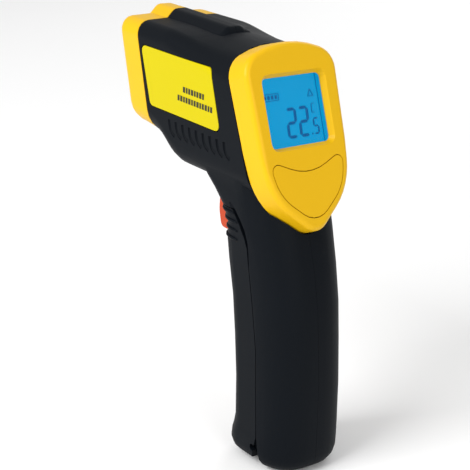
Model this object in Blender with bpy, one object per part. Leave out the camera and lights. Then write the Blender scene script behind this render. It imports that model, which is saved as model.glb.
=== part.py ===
"""Pistol-grip infrared thermometer: two black shells joined on the middle plane, a yellow
nose and a yellow rear bezel with display and key, a trigger, a battery door that is the
front of the handle, and everything that the housing holds.

Sizes are in millimetres and the meshes are built in metres. X runs across the body, Y
points the way the thermometer aims, and Z runs up the handle. Sizes are measured from the
middle of the handle's base; the parent empty then moves everything along Y, so that the
origin is under the middle of the whole object.
"""
import math

import bpy
from mathutils import Vector

MM = 0.001

# ---- overall form -----------------------------------------------------------------------
WALL = 2.0                 # thickness of the moulded walls
GAP = 0.3                  # clearance between neighbouring pieces
SEAM = 0.28                # clearance between the two shells on the middle plane
DECK_Z = 148.6             # top of the head, beside and behind the ridge
HEAD_HALF_WIDTH = 20.3     # widest half width of the head, at its shoulders
CHIN_HALF_WIDTH = 19.3     # half width at the head's lower edges
CROWN_RADIUS = 38.0        # arch of the head's top
REAR_CROWN_DROP = 7.6      # shoulders below the peak of the arch, at the rear
FRONT_CROWN_DROP = 0.4     # the same at the nose, where the top is flat
REAR_SHOULDER_RADIUS = 9.0
FRONT_SHOULDER_RADIUS = 5.5
CHIN_RADIUS = 8.0
CROWN_BLEND = (22.0, 60.0)  # the arch flattens between these two Y places
RIDGE_RISE = 2.7           # ridge on the deck, which holds the laser pointer
RIDGE_HALF_WIDTHS = (7.4, 2.9)   # at its foot and at its top
RIDGE_RADIUS = 4.0
RIDGE_SLOPE = 0.02         # the ridge sinks this much per millimetre rearwards
RIDGE_RAMP = (38.5, 42.5)  # the ridge climbs from the deck between these two Y places

BASE_Z = 1.4               # foot of the handle above the plane that heights start from

# Side profile of the handle: height, back, front, half width.
HANDLE_STATIONS = [
    (BASE_Z, -15.9, 15.6, 16.3),
    (8.0, -15.9, 17.1, 16.6),
    (16.5, -15.7, 15.1, 16.7),
    (32.0, -15.0, 15.9, 16.7),
    (48.0, -13.5, 17.8, 16.7),
    (62.0, -11.8, 19.8, 16.8),
    (75.0, -8.7, 22.4, 17.2),
    (82.0, -6.5, 23.4, 17.5),
    (88.0, -4.5, 22.9, 17.9),
    (93.5, -2.6, 25.8, 18.1),
    (98.5, -0.9, 30.8, 18.3),
    (102.0, 0.3, 35.2, 18.4),
    (107.0, 2.0, 40.5, 18.5),
    (113.0, 4.1, 44.5, 18.3),
    (124.0, 7.9, 46.0, 17.8),
]
HANDLE_REAR_RADIUS = 13.5
HANDLE_FRONT_RADIUS = 8.0
BASE_EDGE_RADIUS = 6.0     # rounding around the base of the handle

# Underside of the head, from the throat to the nose: Y, height.
CHIN_STATIONS = [
    (-20.0, 100.6),
    (38.0, 100.6),
    (47.0, 100.7),
    (51.0, 101.6),
    (55.0, 104.0),
    (59.0, 106.9),
    (63.0, 108.6),
    (68.0, 109.5),
    (95.0, 110.2),
]

# ---- slanted nose -----------------------------------------------------------------------
NOSE_SLANT = math.radians(13.5)
NOSE_BORDER_Y = 75.0       # border between shells and nose, at the top of the ridge
NOSE_DEPTH = 13.4
NOSE_EDGE_RADIUS = 4.0
NOSE_WALL = 3.0
SPIGOT_THICKNESS = 1.3     # rims that locate the nose and the rear bezel in the shells
SPIGOT_REACH = 3.0

# ---- tilted rear panel ------------------------------------------------------------------
PANEL_TILT = math.radians(20.2)
PANEL_Y = 4.55             # middle of the display, on the bezel's face
PANEL_Z = 129.2
BEZEL_DEPTH = 9.1
BEZEL_WALL = 2.2
BEZEL_EDGE_RADIUS = 2.0
BEZEL_DRAFT = 0.5          # the bezel's outline shrinks this much towards its face
# Lower corners of the bezel's outline up one side: X, distance up the panel, rounding.
BEZEL_CORNERS = [
    (0.0, -44.0, 7.0),
    (18.0, -28.6, 24.0),
    (19.4, -12.0, 60.0),
]

# ---- display and key, in the panel's own frame ------------------------------------------
DISPLAY_WIDTH = 25.2
DISPLAY_HEIGHT = 23.6
DISPLAY_BEVEL = 1.2
WINDOW_OVERLAP = 1.2       # window glued behind the opening, this much larger each way
WINDOW_THICKNESS = 1.0
GLASS_THICKNESS = 1.8
BACKLIGHT_THICKNESS = 2.2
HOLDER_WALL = 1.2
STRIP_WIDTH = 1.9
# Corners of the key's outline up one side: X, distance up the panel, rounding.
KEY_CORNERS = [
    (0.0, -38.9, 8.0),
    (13.6, -27.8, 16.0),
    (15.9, -15.7, 2.2),
    (0.0, -22.6, 19.0),
]
KEY_FLANGE = 0.65
KEY_STEM_RADIUS = 2.2
KEY_CENTRE_S = -27.5
BOARD_DEPTH = 10.2         # face of the main board below the bezel's face
BOARD_THICKNESS = 1.6
BOARD_HALF_WIDTH = 15.0
BOARD_TOP_S = 19.0
BOARD_BOTTOM_S = -33.0
BOARD_POSTS = [(-7.0, 16.9), (7.0, 16.9), (0.0, -17.2)]
POST_RADIUS = 1.6
SWITCH_SIZE = 6.0
SWITCH_HEIGHT = 2.0
PLUNGER_RADIUS = 1.6

# ---- battery and its door ---------------------------------------------------------------
BATTERY = (26.5, 17.5, 46.4)
BATTERY_CENTRE = (0.0, 3.3, 36.0)
HANDLE_LEAN = math.radians(6.0)
TERMINAL_SPACING = 12.7
TERMINAL_HEIGHT = 2.1
SNAP_HEIGHT = 4.6
DOOR_TOP_Z = 93.8
DOOR_BOTTOM_Z = 4.3
# Edge between shells and door, seen from the side, from its top to its bottom.
DOOR_EDGE = [
    (15.3, DOOR_TOP_Z),
    (11.4, 89.4),
    (8.5, 85.0),
    (7.0, 81.5),
    (6.4, 77.0),
    (0.6, 46.5),
    (-2.1, 13.5),
    (0.4, DOOR_BOTTOM_Z),
]
HINGE_Y = -0.3
HINGE_Z = 8.8
HINGE_PIN_RADIUS = 1.0
HINGE_LUG_RADIUS = 2.4
KNUCKLE_HALF_LENGTH = 11.0
LUG_THICKNESS = 2.9
DOOR_TONGUE_REACH = 1.9    # floor of the door behind the hinge's axis
NOTCH_WIDTH = 4.0          # relief in the shells behind the door's lower corners

# ---- trigger ----------------------------------------------------------------------------
TRIGGER_HALF_WIDTH = 6.0
TRIGGER_PIVOT = (23.5, 98.2)     # Y, Z
TRIGGER_PIN_RADIUS = 1.2
TRIGGER_PIN_HALF_LENGTH = 12.0
TRIGGER_BOSS_RADIUS = 2.8
TRIGGER_BACK_Y = 22.0
TRIGGER_SLOT_BOTTOM_Z = 77.3
TRIGGER_SLOT_TOP_Z = 100.2
TRIGGER_SWITCH_Z = 90.5
TRIGGER_NUB_LENGTH = 3.3
TRIGGER_RIB_Y = 9.4        # rear face of the rib that backs the spring and the switch
TRIGGER_RIB_THICKNESS = 1.8
TRIGGER_SWITCH_DEPTH = 3.6
TRIGGER_BOARD_THICKNESS = 1.2
SPRING_Z = 83.2
SPRING_RADIUS = 2.4
SPRING_WIRE_RADIUS = 0.3
SPRING_TURNS = 5

# ---- optics -----------------------------------------------------------------------------
LENS_AXIS_Z = 127.0
LENS_TUBE_RADIUS = 12.0
LENS_BORE_RADIUS = 10.0
LENS_RADIUS = 9.4
LENS_Y = 72.6
LENS_TUBE_REAR_Y = 57.4
LENS_TUBE_WAIST_Y = 69.0
LENS_TUBE_WAIST_RADIUS = 9.0
SENSOR_RADIUS = 4.1
SENSOR_HEIGHT = 4.4
SENSOR_BOARD = (23.0, 1.6, 18.0)
SENSOR_POST_X = 8.6
LASER_AXIS_Z = 147.0
LASER_RADIUS = 3.0
LASER_REAR_Y = 62.0
LASER_FRONT_Y = 82.0
LASER_APERTURE_RADIUS = 2.1

# ---- labels, screws, leads --------------------------------------------------------------
LABEL_TOP_Z = 140.5
LABEL_BOTTOM_Z = 119.4
LABEL_REAR_Y = 28.3
LABEL_FRONT_Y = 70.8
LABEL_SLANT = math.tan(math.radians(16.2))
LABEL_THICKNESS = 0.5
SHELL_SCREWS = [           # Y, Z of each boss
    (40.0, 139.3),
    (50.0, 107.2),
    (15.0, 104.2),
    (-1.6, 72.5),
    (-9.4, 8.2),
]
BOSS_RADIUS = 3.0
SCREW_RADIUS = 1.1
SCREW_HEAD_RADIUS = 2.3
SCREW_HEAD_HEIGHT = 1.7
SCREW_REACH = 8.0          # length of thread in the left shell
LEAD_RADIUS = 0.65

YELLOW = (0.80, 0.55, 0.02)
BLACK = (0.018, 0.020, 0.024)
ORANGE = (0.75, 0.13, 0.03)


# ---- mesh building ----------------------------------------------------------------------
def clear_scene():
    for item in list(bpy.data.objects):
        bpy.data.objects.remove(item, do_unlink=True)


def add_mesh(name, vertices, faces, smooth_angle=0.0):
    """Make an object from points in millimetres."""
    mesh = bpy.data.meshes.new(name)
    mesh.from_pydata([tuple(v * MM for v in point) for point in vertices], [], faces)
    mesh.validate()
    item = bpy.data.objects.new(name, mesh)
    bpy.context.collection.objects.link(item)
    if smooth_angle:
        smooth(item, smooth_angle)
    return item


def smooth(item, angle=30.0):
    item.data.shade_smooth()
    item.data.set_sharp_from_angle(angle=math.radians(angle))


def place(item, location=(0, 0, 0), turn=(0, 0, 0), parent=None):
    """Put an object at a place in millimetres, turned about X, Y and Z."""
    item.location = [value * MM for value in location]
    item.rotation_euler = turn
    item.parent = parent
    return item


def add_empty(name, location=(0, 0, 0), turn=(0, 0, 0), parent=None):
    item = bpy.data.objects.new(name, None)
    bpy.context.collection.objects.link(item)
    return place(item, location, turn, parent)


def loft(name, rings, closed=False, smooth_angle=0.0):
    """Skin a list of rings that have the same number of points; the ends are capped
    unless the last ring joins the first."""
    count = len(rings[0])
    vertices = [point for ring in rings for point in ring]
    faces = []
    spans = len(rings) if closed else len(rings) - 1
    for i in range(spans):
        here = i * count
        there = ((i + 1) % len(rings)) * count
        for j in range(count):
            k = (j + 1) % count
            faces.append((here + j, here + k, there + k, there + j))
    if not closed:
        faces.append(tuple(reversed(range(count))))
        last = (len(rings) - 1) * count
        faces.append(tuple(range(last, last + count)))
    return add_mesh(name, vertices, faces, smooth_angle)


def box(name, low, high):
    """Box between two corners."""
    ring = [(0, 0), (1, 0), (1, 1), (0, 1)]
    rings = []
    for level in (low[2], high[2]):
        rings.append([(
            low[0] + (high[0] - low[0]) * u,
            low[1] + (high[1] - low[1]) * v,
            level,
        ) for u, v in ring])
    return loft(name, rings)


def turned(name, profile, segments=24, smooth_angle=35.0):
    """Body turned about Z from (radius, height) points that go round its section with the
    material on their left; a solid's profile starts and ends on the axis."""
    solid = profile[0][0] == 0.0 and profile[-1][0] == 0.0
    inner = profile[1:-1] if solid else profile
    vertices = []
    for i in range(segments):
        angle = 2 * math.pi * i / segments
        vertices += [(r * math.cos(angle), r * math.sin(angle), h) for r, h in inner]
    count = len(inner)
    faces = []
    for i in range(segments):
        here = i * count
        there = (i + 1) % segments * count
        for j in range(count - 1 if solid else count):
            k = (j + 1) % count
            faces.append((here + j, there + j, there + k, here + k))
    if solid:
        bottom = len(vertices)
        vertices += [(0, 0, profile[0][1]), (0, 0, profile[-1][1])]
        for i in range(segments):
            here = i * count
            there = (i + 1) % segments * count
            faces.append((bottom, there, here))
            faces.append((bottom + 1, here + count - 1, there + count - 1))
    return add_mesh(name, vertices, faces, smooth_angle)


def rod(name, radius, low, high, segments=20):
    """Round bar along its own Z."""
    return turned(name, [(0.0, low), (radius, low), (radius, high), (0.0, high)], segments)


def prism(name, outline, low, high, to_point):
    """Extrude an outline; to_point turns (u, v, level) into a point."""
    rings = [[to_point(u, v, level) for u, v in outline] for level in (low, high)]
    return loft(name, rings)


def across(y, z, x):
    """Outline in the side view, extruded across the body."""
    return (x, y, z)


def upright(u, v, level):
    return (u, v, level)


def combine(target, other, operation):
    """Change target by a Boolean with other, which is used up."""
    bpy.context.view_layer.update()
    modifier = target.modifiers.new(operation, "BOOLEAN")
    modifier.operation = operation
    modifier.object = other
    modifier.solver = "EXACT"
    shape = target.evaluated_get(bpy.context.evaluated_depsgraph_get())
    mesh = bpy.data.meshes.new_from_object(shape)
    target.modifiers.remove(modifier)
    target.data = mesh
    bpy.data.objects.remove(other, do_unlink=True)
    return target


def cut(target, *cutters):
    for cutter in cutters:
        combine(target, cutter, "DIFFERENCE")
    return target


def join(target, *others):
    for other in others:
        combine(target, other, "UNION")
    return target


def keep_inside(target, other):
    return combine(target, other, "INTERSECT")


def copy_of(item, name):
    twin = bpy.data.objects.new(name, item.data.copy())
    bpy.context.collection.objects.link(twin)
    twin.matrix_world = item.matrix_world.copy()
    return twin


# ---- outlines ---------------------------------------------------------------------------
def mirrored(half):
    """Complete a list of corners (x, y, radius) that goes up the +X side."""
    return half + [(-x, y, r) for x, y, r in reversed(half) if x > 0]


def inset_corners(corners, distance):
    """Move every edge of an anticlockwise outline inwards; the roundings follow."""
    moved = []
    count = len(corners)
    for i, (x, y, r) in enumerate(corners):
        before = Vector(corners[i - 1][:2])
        after = Vector(corners[(i + 1) % count][:2])
        point = Vector((x, y))
        first = (point - before).normalized()
        second = (after - point).normalized()
        normal_1 = Vector((-first.y, first.x))
        normal_2 = Vector((-second.y, second.x))
        shift = (normal_1 + normal_2) * (distance / (1 + normal_1.dot(normal_2)))
        convex = first.cross(second) > 0
        radius = r - distance if convex else r + distance
        moved.append((x + shift.x, y + shift.y, max(radius, 0.2)))
    return moved


def rounded(corners, steps=5):
    """Points of an outline whose corners (x, y, radius) are rounded."""
    points = []
    count = len(corners)
    for i, (x, y, r) in enumerate(corners):
        point = Vector((x, y))
        back = (Vector(corners[i - 1][:2]) - point).normalized()
        ahead = (Vector(corners[(i + 1) % count][:2]) - point).normalized()
        half = back.angle(ahead) / 2
        centre = point + (back + ahead).normalized() * (r / math.sin(half))
        start = point + back * (r / math.tan(half)) - centre
        turn = math.pi - 2 * half
        if back.cross(ahead) > 0:
            turn = -turn
        for k in range(steps + 1):
            angle = turn * k / steps
            c, s = math.cos(angle), math.sin(angle)
            points.append((
                centre.x + start.x * c - start.y * s,
                centre.y + start.x * s + start.y * c,
            ))
    return points


def circle(y, z, radius, steps=20):
    return [(
        y + radius * math.cos(2 * math.pi * i / steps),
        z + radius * math.sin(2 * math.pi * i / steps),
    ) for i in range(steps)]


def rectangle(half_x, low_y, high_y, radius):
    return mirrored([(half_x, low_y, radius), (half_x, high_y, radius)])


def along(stations, place_at, column=1):
    """Value at a place, read from stations through a smooth curve."""
    if place_at <= stations[0][0]:
        return stations[0][column]
    if place_at >= stations[-1][0]:
        return stations[-1][column]
    i = max(k for k in range(len(stations) - 1) if stations[k][0] <= place_at)

    def slope(k):
        if k in (0, len(stations) - 1):
            return 0.0
        before = stations[k][0] - stations[k - 1][0]
        after = stations[k + 1][0] - stations[k][0]
        rise_before = (stations[k][column] - stations[k - 1][column]) / before
        rise_after = (stations[k + 1][column] - stations[k][column]) / after
        if rise_before * rise_after <= 0:
            return 0.0
        return (before + after) / (before / rise_after + after / rise_before)

    span = stations[i + 1][0] - stations[i][0]
    t = (place_at - stations[i][0]) / span
    return (
        (2 * t ** 3 - 3 * t ** 2 + 1) * stations[i][column]
        + (t ** 3 - 2 * t ** 2 + t) * span * slope(i)
        + (3 * t ** 2 - 2 * t ** 3) * stations[i + 1][column]
        + (t ** 3 - t ** 2) * span * slope(i + 1)
    )


def ease(low, high, value):
    t = min(max((value - low) / (high - low), 0.0), 1.0)
    return t * t * (3 - 2 * t)


# ---- skin of the body -------------------------------------------------------------------
def handle_ring(z, inset):
    back = along(HANDLE_STATIONS, z, 1)
    front = along(HANDLE_STATIONS, z, 2)
    half = along(HANDLE_STATIONS, z, 3)
    corners = [
        (half, back, HANDLE_REAR_RADIUS),
        (half, front, HANDLE_FRONT_RADIUS),
        (-half, front, HANDLE_FRONT_RADIUS),
        (-half, back, HANDLE_REAR_RADIUS),
    ]
    return [(x, y, z) for x, y in rounded(inset_corners(corners, inset), 6)]


def handle_skin(name, inset=0.0, floor=0.0):
    """Handle and throat, lofted upwards. Its foot is rounded on the outer skin only."""
    rings = []
    if inset == 0.0:
        for i in range(4):
            angle = math.pi / 2 * i / 4
            edge = BASE_EDGE_RADIUS * (1 - math.sin(angle))
            height = BASE_Z + BASE_EDGE_RADIUS * (1 - math.cos(angle))
            rings.append(handle_ring(height, edge))
        floor = BASE_Z + BASE_EDGE_RADIUS
    rings.append(handle_ring(floor, inset))
    heights = [5.5, 8.0, 10.5, 13.0] + [station[0] for station in HANDLE_STATIONS[2:]]
    rings += [handle_ring(z, inset) for z in heights if z > floor + 0.8]
    return loft(name, rings)


def head_corners(y, inset=0.0, chin_y=None):
    """Section of the head at a place along Y."""
    blend = ease(*CROWN_BLEND, y)
    drop = REAR_CROWN_DROP + (FRONT_CROWN_DROP - REAR_CROWN_DROP) * blend
    shoulder = REAR_SHOULDER_RADIUS + (FRONT_SHOULDER_RADIUS - REAR_SHOULDER_RADIUS) * blend
    slope = math.atan2(drop, HEAD_HALF_WIDTH)
    peak = DECK_Z + CROWN_RADIUS * (1 / math.cos(slope) - 1)
    chin = along(CHIN_STATIONS, y if chin_y is None else chin_y)
    corners = mirrored([
        (CHIN_HALF_WIDTH, chin, CHIN_RADIUS),
        (HEAD_HALF_WIDTH, peak - drop, shoulder),
        (0.0, peak, CROWN_RADIUS),
    ])
    return inset_corners(corners, inset)


def head_skin(name, inset=0.0, rear=-12.0, front=92.0):
    """Barrel of the head, lofted forwards."""
    places = [rear, 14.0, 22.0, 30.0, 38.0, 44.0, 47.0, 49.0, 51.0, 53.0, 55.0, 57.0, 59.0, 61.0]
    places += [63.0, 68.0, front]
    rings = []
    for y in places:
        ring = rounded(head_corners(y, inset))
        rings.append([(x, y, z) for x, z in reversed(ring)])
    return loft(name, rings)


def ridge_corners(y, inset=0.0):
    rise = RIDGE_RISE + 1.2
    top = DECK_Z - 1.2 + rise * ease(*RIDGE_RAMP, y) - RIDGE_SLOPE * (NOSE_BORDER_Y - y)
    foot_half, top_half = RIDGE_HALF_WIDTHS
    corners = mirrored([
        (foot_half, DECK_Z - 6.0, 0.2),
        (foot_half - 0.4, DECK_Z - 0.6, 0.8),
        (top_half, top + 0.15, RIDGE_RADIUS * (0.3 + 0.7 * ease(*RIDGE_RAMP, y))),
    ])
    return inset_corners(corners, inset)


def ridge_skin(name, front=92.0):
    start, end = RIDGE_RAMP
    places = [start + (end - start) * i / 5 for i in range(6)] + [front]
    rings = []
    for y in places:
        ring = rounded(ridge_corners(y), 3)
        rings.append([(x, y, z) for x, z in reversed(ring)])
    return loft(name, rings)


def nose_plane_y(z):
    """Border between shells and nose at a height."""
    return NOSE_BORDER_Y - (DECK_Z + RIDGE_RISE - z) * math.tan(NOSE_SLANT)


def nose_half_space(name, depth, ahead):
    """Everything in front of, or behind, a plane parallel to the nose's border."""
    reach = 150.0
    low_y, high_y = (0.0, reach) if ahead else (-reach, 0.0)
    block = box(name, (-reach, low_y, -reach), (reach, high_y, reach))
    return place(block, (0, nose_plane_y(LENS_AXIS_Z) + depth, LENS_AXIS_Z), (-NOSE_SLANT, 0, 0))


def bezel_corners(inset=0.0):
    """Outline of the rear bezel on its tilted plane, as (x, s); its upper edge lies on the
    head's skin."""
    def lift(z):
        return (z - PANEL_Z + BEZEL_DEPTH * math.sin(PANEL_TILT)) / math.cos(PANEL_TILT)

    section = head_corners(CROWN_BLEND[0])
    shoulder, peak = section[1], section[2]
    corners = mirrored(BEZEL_CORNERS + [
        (shoulder[0], lift(shoulder[1]), shoulder[2]),
        (0.0, lift(peak[1]), peak[2]),
    ])
    return inset_corners(corners, inset)


def panel_ring(inset, depth, steps=6):
    return [(x, s, -depth) for x, s in rounded(bezel_corners(inset), steps)]


def panel_block(name, inset, top, bottom):
    """Block with the bezel's outline between two depths, in the panel's frame."""
    return loft(name, [panel_ring(inset, bottom), panel_ring(inset, top)])


def in_panel(item):
    return place(item, (0, PANEL_Y, PANEL_Z), (math.pi / 2 - PANEL_TILT, 0, 0))


def panel_box(name, half_x, low_s, high_s, top, bottom):
    return box(name, (-half_x, low_s, -bottom), (half_x, high_s, -top))


# ---- shells -----------------------------------------------------------------------------
def door_prism(name, gap=0.0, half_width=40.0):
    """Region of the battery door, seen from the side. With a gap it is the opening that
    the shells leave for it, with a relief behind the door's lower corners."""
    edge = [(y - gap, z) for y, z in DOOR_EDGE]
    if gap:
        edge[0] = (edge[0][0], DOOR_TOP_Z + gap)
        edge[-1] = (DOOR_EDGE[-1][0] - NOTCH_WIDTH - gap, DOOR_BOTTOM_Z)
        edge.append((edge[-1][0], -10.0))
        outline = edge + [(60.0, -10.0), (60.0, DOOR_TOP_Z + gap)]
    else:
        outline = edge + [(60.0, DOOR_BOTTOM_Z), (60.0, DOOR_TOP_Z)]
    return prism(name, outline, -half_width, half_width, across)


def trigger_slot(name):
    half = TRIGGER_HALF_WIDTH + 0.5
    low = (-half, TRIGGER_BACK_Y - 3.5, TRIGGER_SLOT_BOTTOM_Z)
    return box(name, low, (half, 60.0, TRIGGER_SLOT_TOP_Z))


def make_cavity():
    """Room inside the two shells: the skin set in by the wall, less the bosses, the ribs
    and the hinge lugs, which stay as material."""
    cavity = handle_skin("cavity", WALL, BASE_Z + WALL)
    join(cavity, head_skin("head_room", WALL, -11.0, 91.0))
    for y, z in SHELL_SCREWS:
        cut(cavity, prism("boss", circle(y, z, BOSS_RADIUS, 16), -30, 30, across))
    rib_top = TRIGGER_PIVOT[1] - 1.2
    rib_low = (-30, TRIGGER_RIB_Y, TRIGGER_SLOT_BOTTOM_Z + 1.0)
    cut(cavity, box("rib", rib_low, (30, TRIGGER_RIB_Y + TRIGGER_RIB_THICKNESS, rib_top)))
    for z in (20.0, 47.0):
        back = BATTERY_CENTRE[1] - BATTERY[1] / 2 + (z - BATTERY_CENTRE[2]) * 0.1 - 1.2
        cut(cavity, box("battery_rib", (-30, -30, z), (30, back, z + 1.6)))
    for side in (-1, 1):
        inner = side * (TRIGGER_HALF_WIDTH + 0.6)
        outline = circle(*TRIGGER_PIVOT, TRIGGER_BOSS_RADIUS, 16)
        low, high = sorted((inner, side * 30))
        cut(cavity, prism("pivot_boss", outline, low, high, across))
        lug = [(HINGE_Y - 9.0, HINGE_Z + 0.4)]
        for i in range(7):
            angle = math.pi * (i / 4 - 1)
            lug.append((
                HINGE_Y + HINGE_LUG_RADIUS * math.cos(angle),
                HINGE_Z + HINGE_LUG_RADIUS * math.sin(angle),
            ))
        lug.append((HINGE_Y - 9.0, HINGE_Z + HINGE_LUG_RADIUS))
        low, high = sorted((side * (KNUCKLE_HALF_LENGTH + 0.4), side * 30))
        cut(cavity, prism("lug", lug, low, high, across))
    return cavity


def make_shell_body():
    """Both shells as one piece, before the middle plane parts them."""
    body = head_skin("body")
    cutter = panel_block("rear_cut", -30.0, -60.0, BEZEL_DEPTH + GAP)
    cut(body, in_panel(cutter))
    join(body, handle_skin("handle"), ridge_skin("ridge"))
    cut(body, make_cavity())
    cut(body, nose_half_space("nose_cut", -GAP, True))
    bezel_room = panel_block("bezel_room", -GAP, -40.0, BEZEL_DEPTH + GAP)
    cut(body, in_panel(bezel_room))
    opening = door_prism("door_opening", 0.35)
    core = handle_skin("core", WALL + 0.4, DOOR_BOTTOM_Z + WALL + 0.4)
    cut(opening, core)
    cut(body, opening, trigger_slot("slot"))
    laser_bore = rod("laser_bore", LASER_RADIUS + GAP, LASER_REAR_Y - 2.0, LASER_FRONT_Y + 10)
    cut(body, place(laser_bore, (0, 0, LASER_AXIS_Z), (-math.pi / 2, 0, 0)))
    pin_hole = circle(*TRIGGER_PIVOT, TRIGGER_PIN_RADIUS + GAP, 16)
    reach = TRIGGER_PIN_HALF_LENGTH + GAP
    cut(body, prism("pin_hole", pin_hole, -reach, reach, across))
    hinge_hole = circle(HINGE_Y, HINGE_Z, HINGE_PIN_RADIUS + GAP, 16)
    reach = KNUCKLE_HALF_LENGTH + LUG_THICKNESS
    cut(body, prism("hinge_hole", hinge_hole, -reach, reach, across))
    return body


def skin_half_width(y, z):
    """Half width of the outer skin at a place in the side view."""
    if z > 100.0:
        return CHIN_HALF_WIDTH + (HEAD_HALF_WIDTH - CHIN_HALF_WIDTH) * (z - 104.0) / 42.0
    back = along(HANDLE_STATIONS, z, 1)
    half = along(HANDLE_STATIONS, z, 3)
    inward = max(back + HANDLE_REAR_RADIUS - y, 0.0)
    return half - HANDLE_REAR_RADIUS + math.sqrt(HANDLE_REAR_RADIUS ** 2 - inward ** 2)


def screw_seat_x(y, z):
    """Where a screw's head sits, below the right shell's skin."""
    return skin_half_width(y, z) - SCREW_HEAD_HEIGHT - 2.4


def make_shells(body, materials):
    left = body
    right = copy_of(body, "right_shell")
    left.name = "left_shell"
    cut(left, box("right_side", (-SEAM / 2, -60, -20), (60, 140, 200)))
    cut(right, box("left_side", (-60, -60, -20), (SEAM / 2, 140, 200)))
    for y, z in SHELL_SCREWS:
        hole = circle(y, z, SCREW_RADIUS + GAP, 14)
        cut(left, prism("pilot_hole", hole, -SCREW_REACH - 1.0, 1.0, across))
        cut(right, prism("screw_hole", hole, -1.0, 40.0, across))
        head = circle(y, z, SCREW_HEAD_RADIUS + GAP, 18)
        cut(right, prism("head_seat", head, screw_seat_x(y, z), 40.0, across))
    cut(left, label_recess(-1))
    cut(right, label_recess(1))
    for shell in (left, right):
        smooth(shell)
        finish(shell, materials["black_abs"])


# ---- labels -----------------------------------------------------------------------------
def label_prism(name, side, grow):
    """Slanted label panel on one flank."""
    top, bottom = LABEL_TOP_Z + grow, LABEL_BOTTOM_Z - grow
    lean = (top - bottom) * LABEL_SLANT
    corners = [
        (LABEL_REAR_Y - lean - grow, bottom, 2.0),
        (LABEL_FRONT_Y - lean + grow, bottom, 2.0),
        (LABEL_FRONT_Y + grow, top, 2.0),
        (LABEL_REAR_Y - grow, top, 2.0),
    ]
    low, high = sorted((side * 12.0, side * 30.0))
    return prism(name, rounded(corners, 3), low, high, across)


def label_recess(side):
    cutter = label_prism("label_recess", side, GAP)
    return cut(cutter, head_skin("recess_floor", LABEL_THICKNESS + GAP + 0.05))


def make_label(name, side):
    label = label_prism(name, side, 0.0)
    keep_inside(label, head_skin("label_face", 0.05))
    return cut(label, head_skin("label_back", LABEL_THICKNESS + 0.05))


# ---- nose and optics --------------------------------------------------------------------
def nose_ring(depth, inset, with_ridge):
    """Section of the nose parallel to its slanted front."""
    if with_ridge:
        corners = ridge_corners(NOSE_BORDER_Y, inset)
        steps = 3
    else:
        chin_y = nose_plane_y(CHIN_STATIONS[-2][1]) + depth
        corners = head_corners(CROWN_BLEND[1], inset, chin_y)
        steps = 5
    ring = rounded(corners, steps)
    return [(x, nose_plane_y(z) + depth, z) for x, z in reversed(ring)]


def nose_solid(name, start, end, inset, edge, with_ridge):
    rings = [nose_ring(start, inset, with_ridge), nose_ring((start + end) / 2, inset, with_ridge)]
    for i in range(5):
        angle = math.pi / 2 * i / 4
        depth = end - edge + edge * math.sin(angle)
        rings.append(nose_ring(depth, inset + edge * (1 - math.cos(angle)), with_ridge))
    return loft(name, rings)


def make_nose():
    nose = nose_solid("nose_bezel", 0.0, NOSE_DEPTH, 0.0, NOSE_EDGE_RADIUS, False)
    join(nose, nose_solid("ridge_end", 0.0, NOSE_DEPTH, 0.0, NOSE_EDGE_RADIUS - 0.6, True))
    room = nose_solid("room", -2.0, NOSE_DEPTH - NOSE_WALL, NOSE_WALL, 0.6, False)
    cut(nose, room)
    opening = rod("lens_opening", LENS_TUBE_RADIUS + GAP, 40.0, 110.0, 32)
    cut(nose, place(opening, (0, 0, LENS_AXIS_Z), (-math.pi / 2, 0, 0)))
    spigot = nose_solid("spigot", -SPIGOT_REACH, SPIGOT_REACH, WALL + GAP, 0.4, False)
    inner = WALL + GAP + SPIGOT_THICKNESS
    cut(spigot, nose_solid("spigot_room", -9.0, 9.0, inner, 0.4, False))
    join(nose, spigot)
    bore = rod("laser_room", LASER_RADIUS + GAP, LASER_REAR_Y, LASER_FRONT_Y + GAP)
    cut(nose, place(bore, (0, 0, LASER_AXIS_Z), (-math.pi / 2, 0, 0)))
    aperture = rod("aperture", LASER_APERTURE_RADIUS, LASER_FRONT_Y - 5, LASER_FRONT_Y + 20)
    cut(nose, place(aperture, (0, 0, LASER_AXIS_Z), (-math.pi / 2, 0, 0)))
    smooth(nose)
    return nose


def aimed(item, x=0.0, y=0.0, z=LENS_AXIS_Z):
    """Lay a turned piece along the aiming direction, its own Z pointing forwards."""
    return place(item, (x, y, z), (-math.pi / 2, 0, 0))


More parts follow.
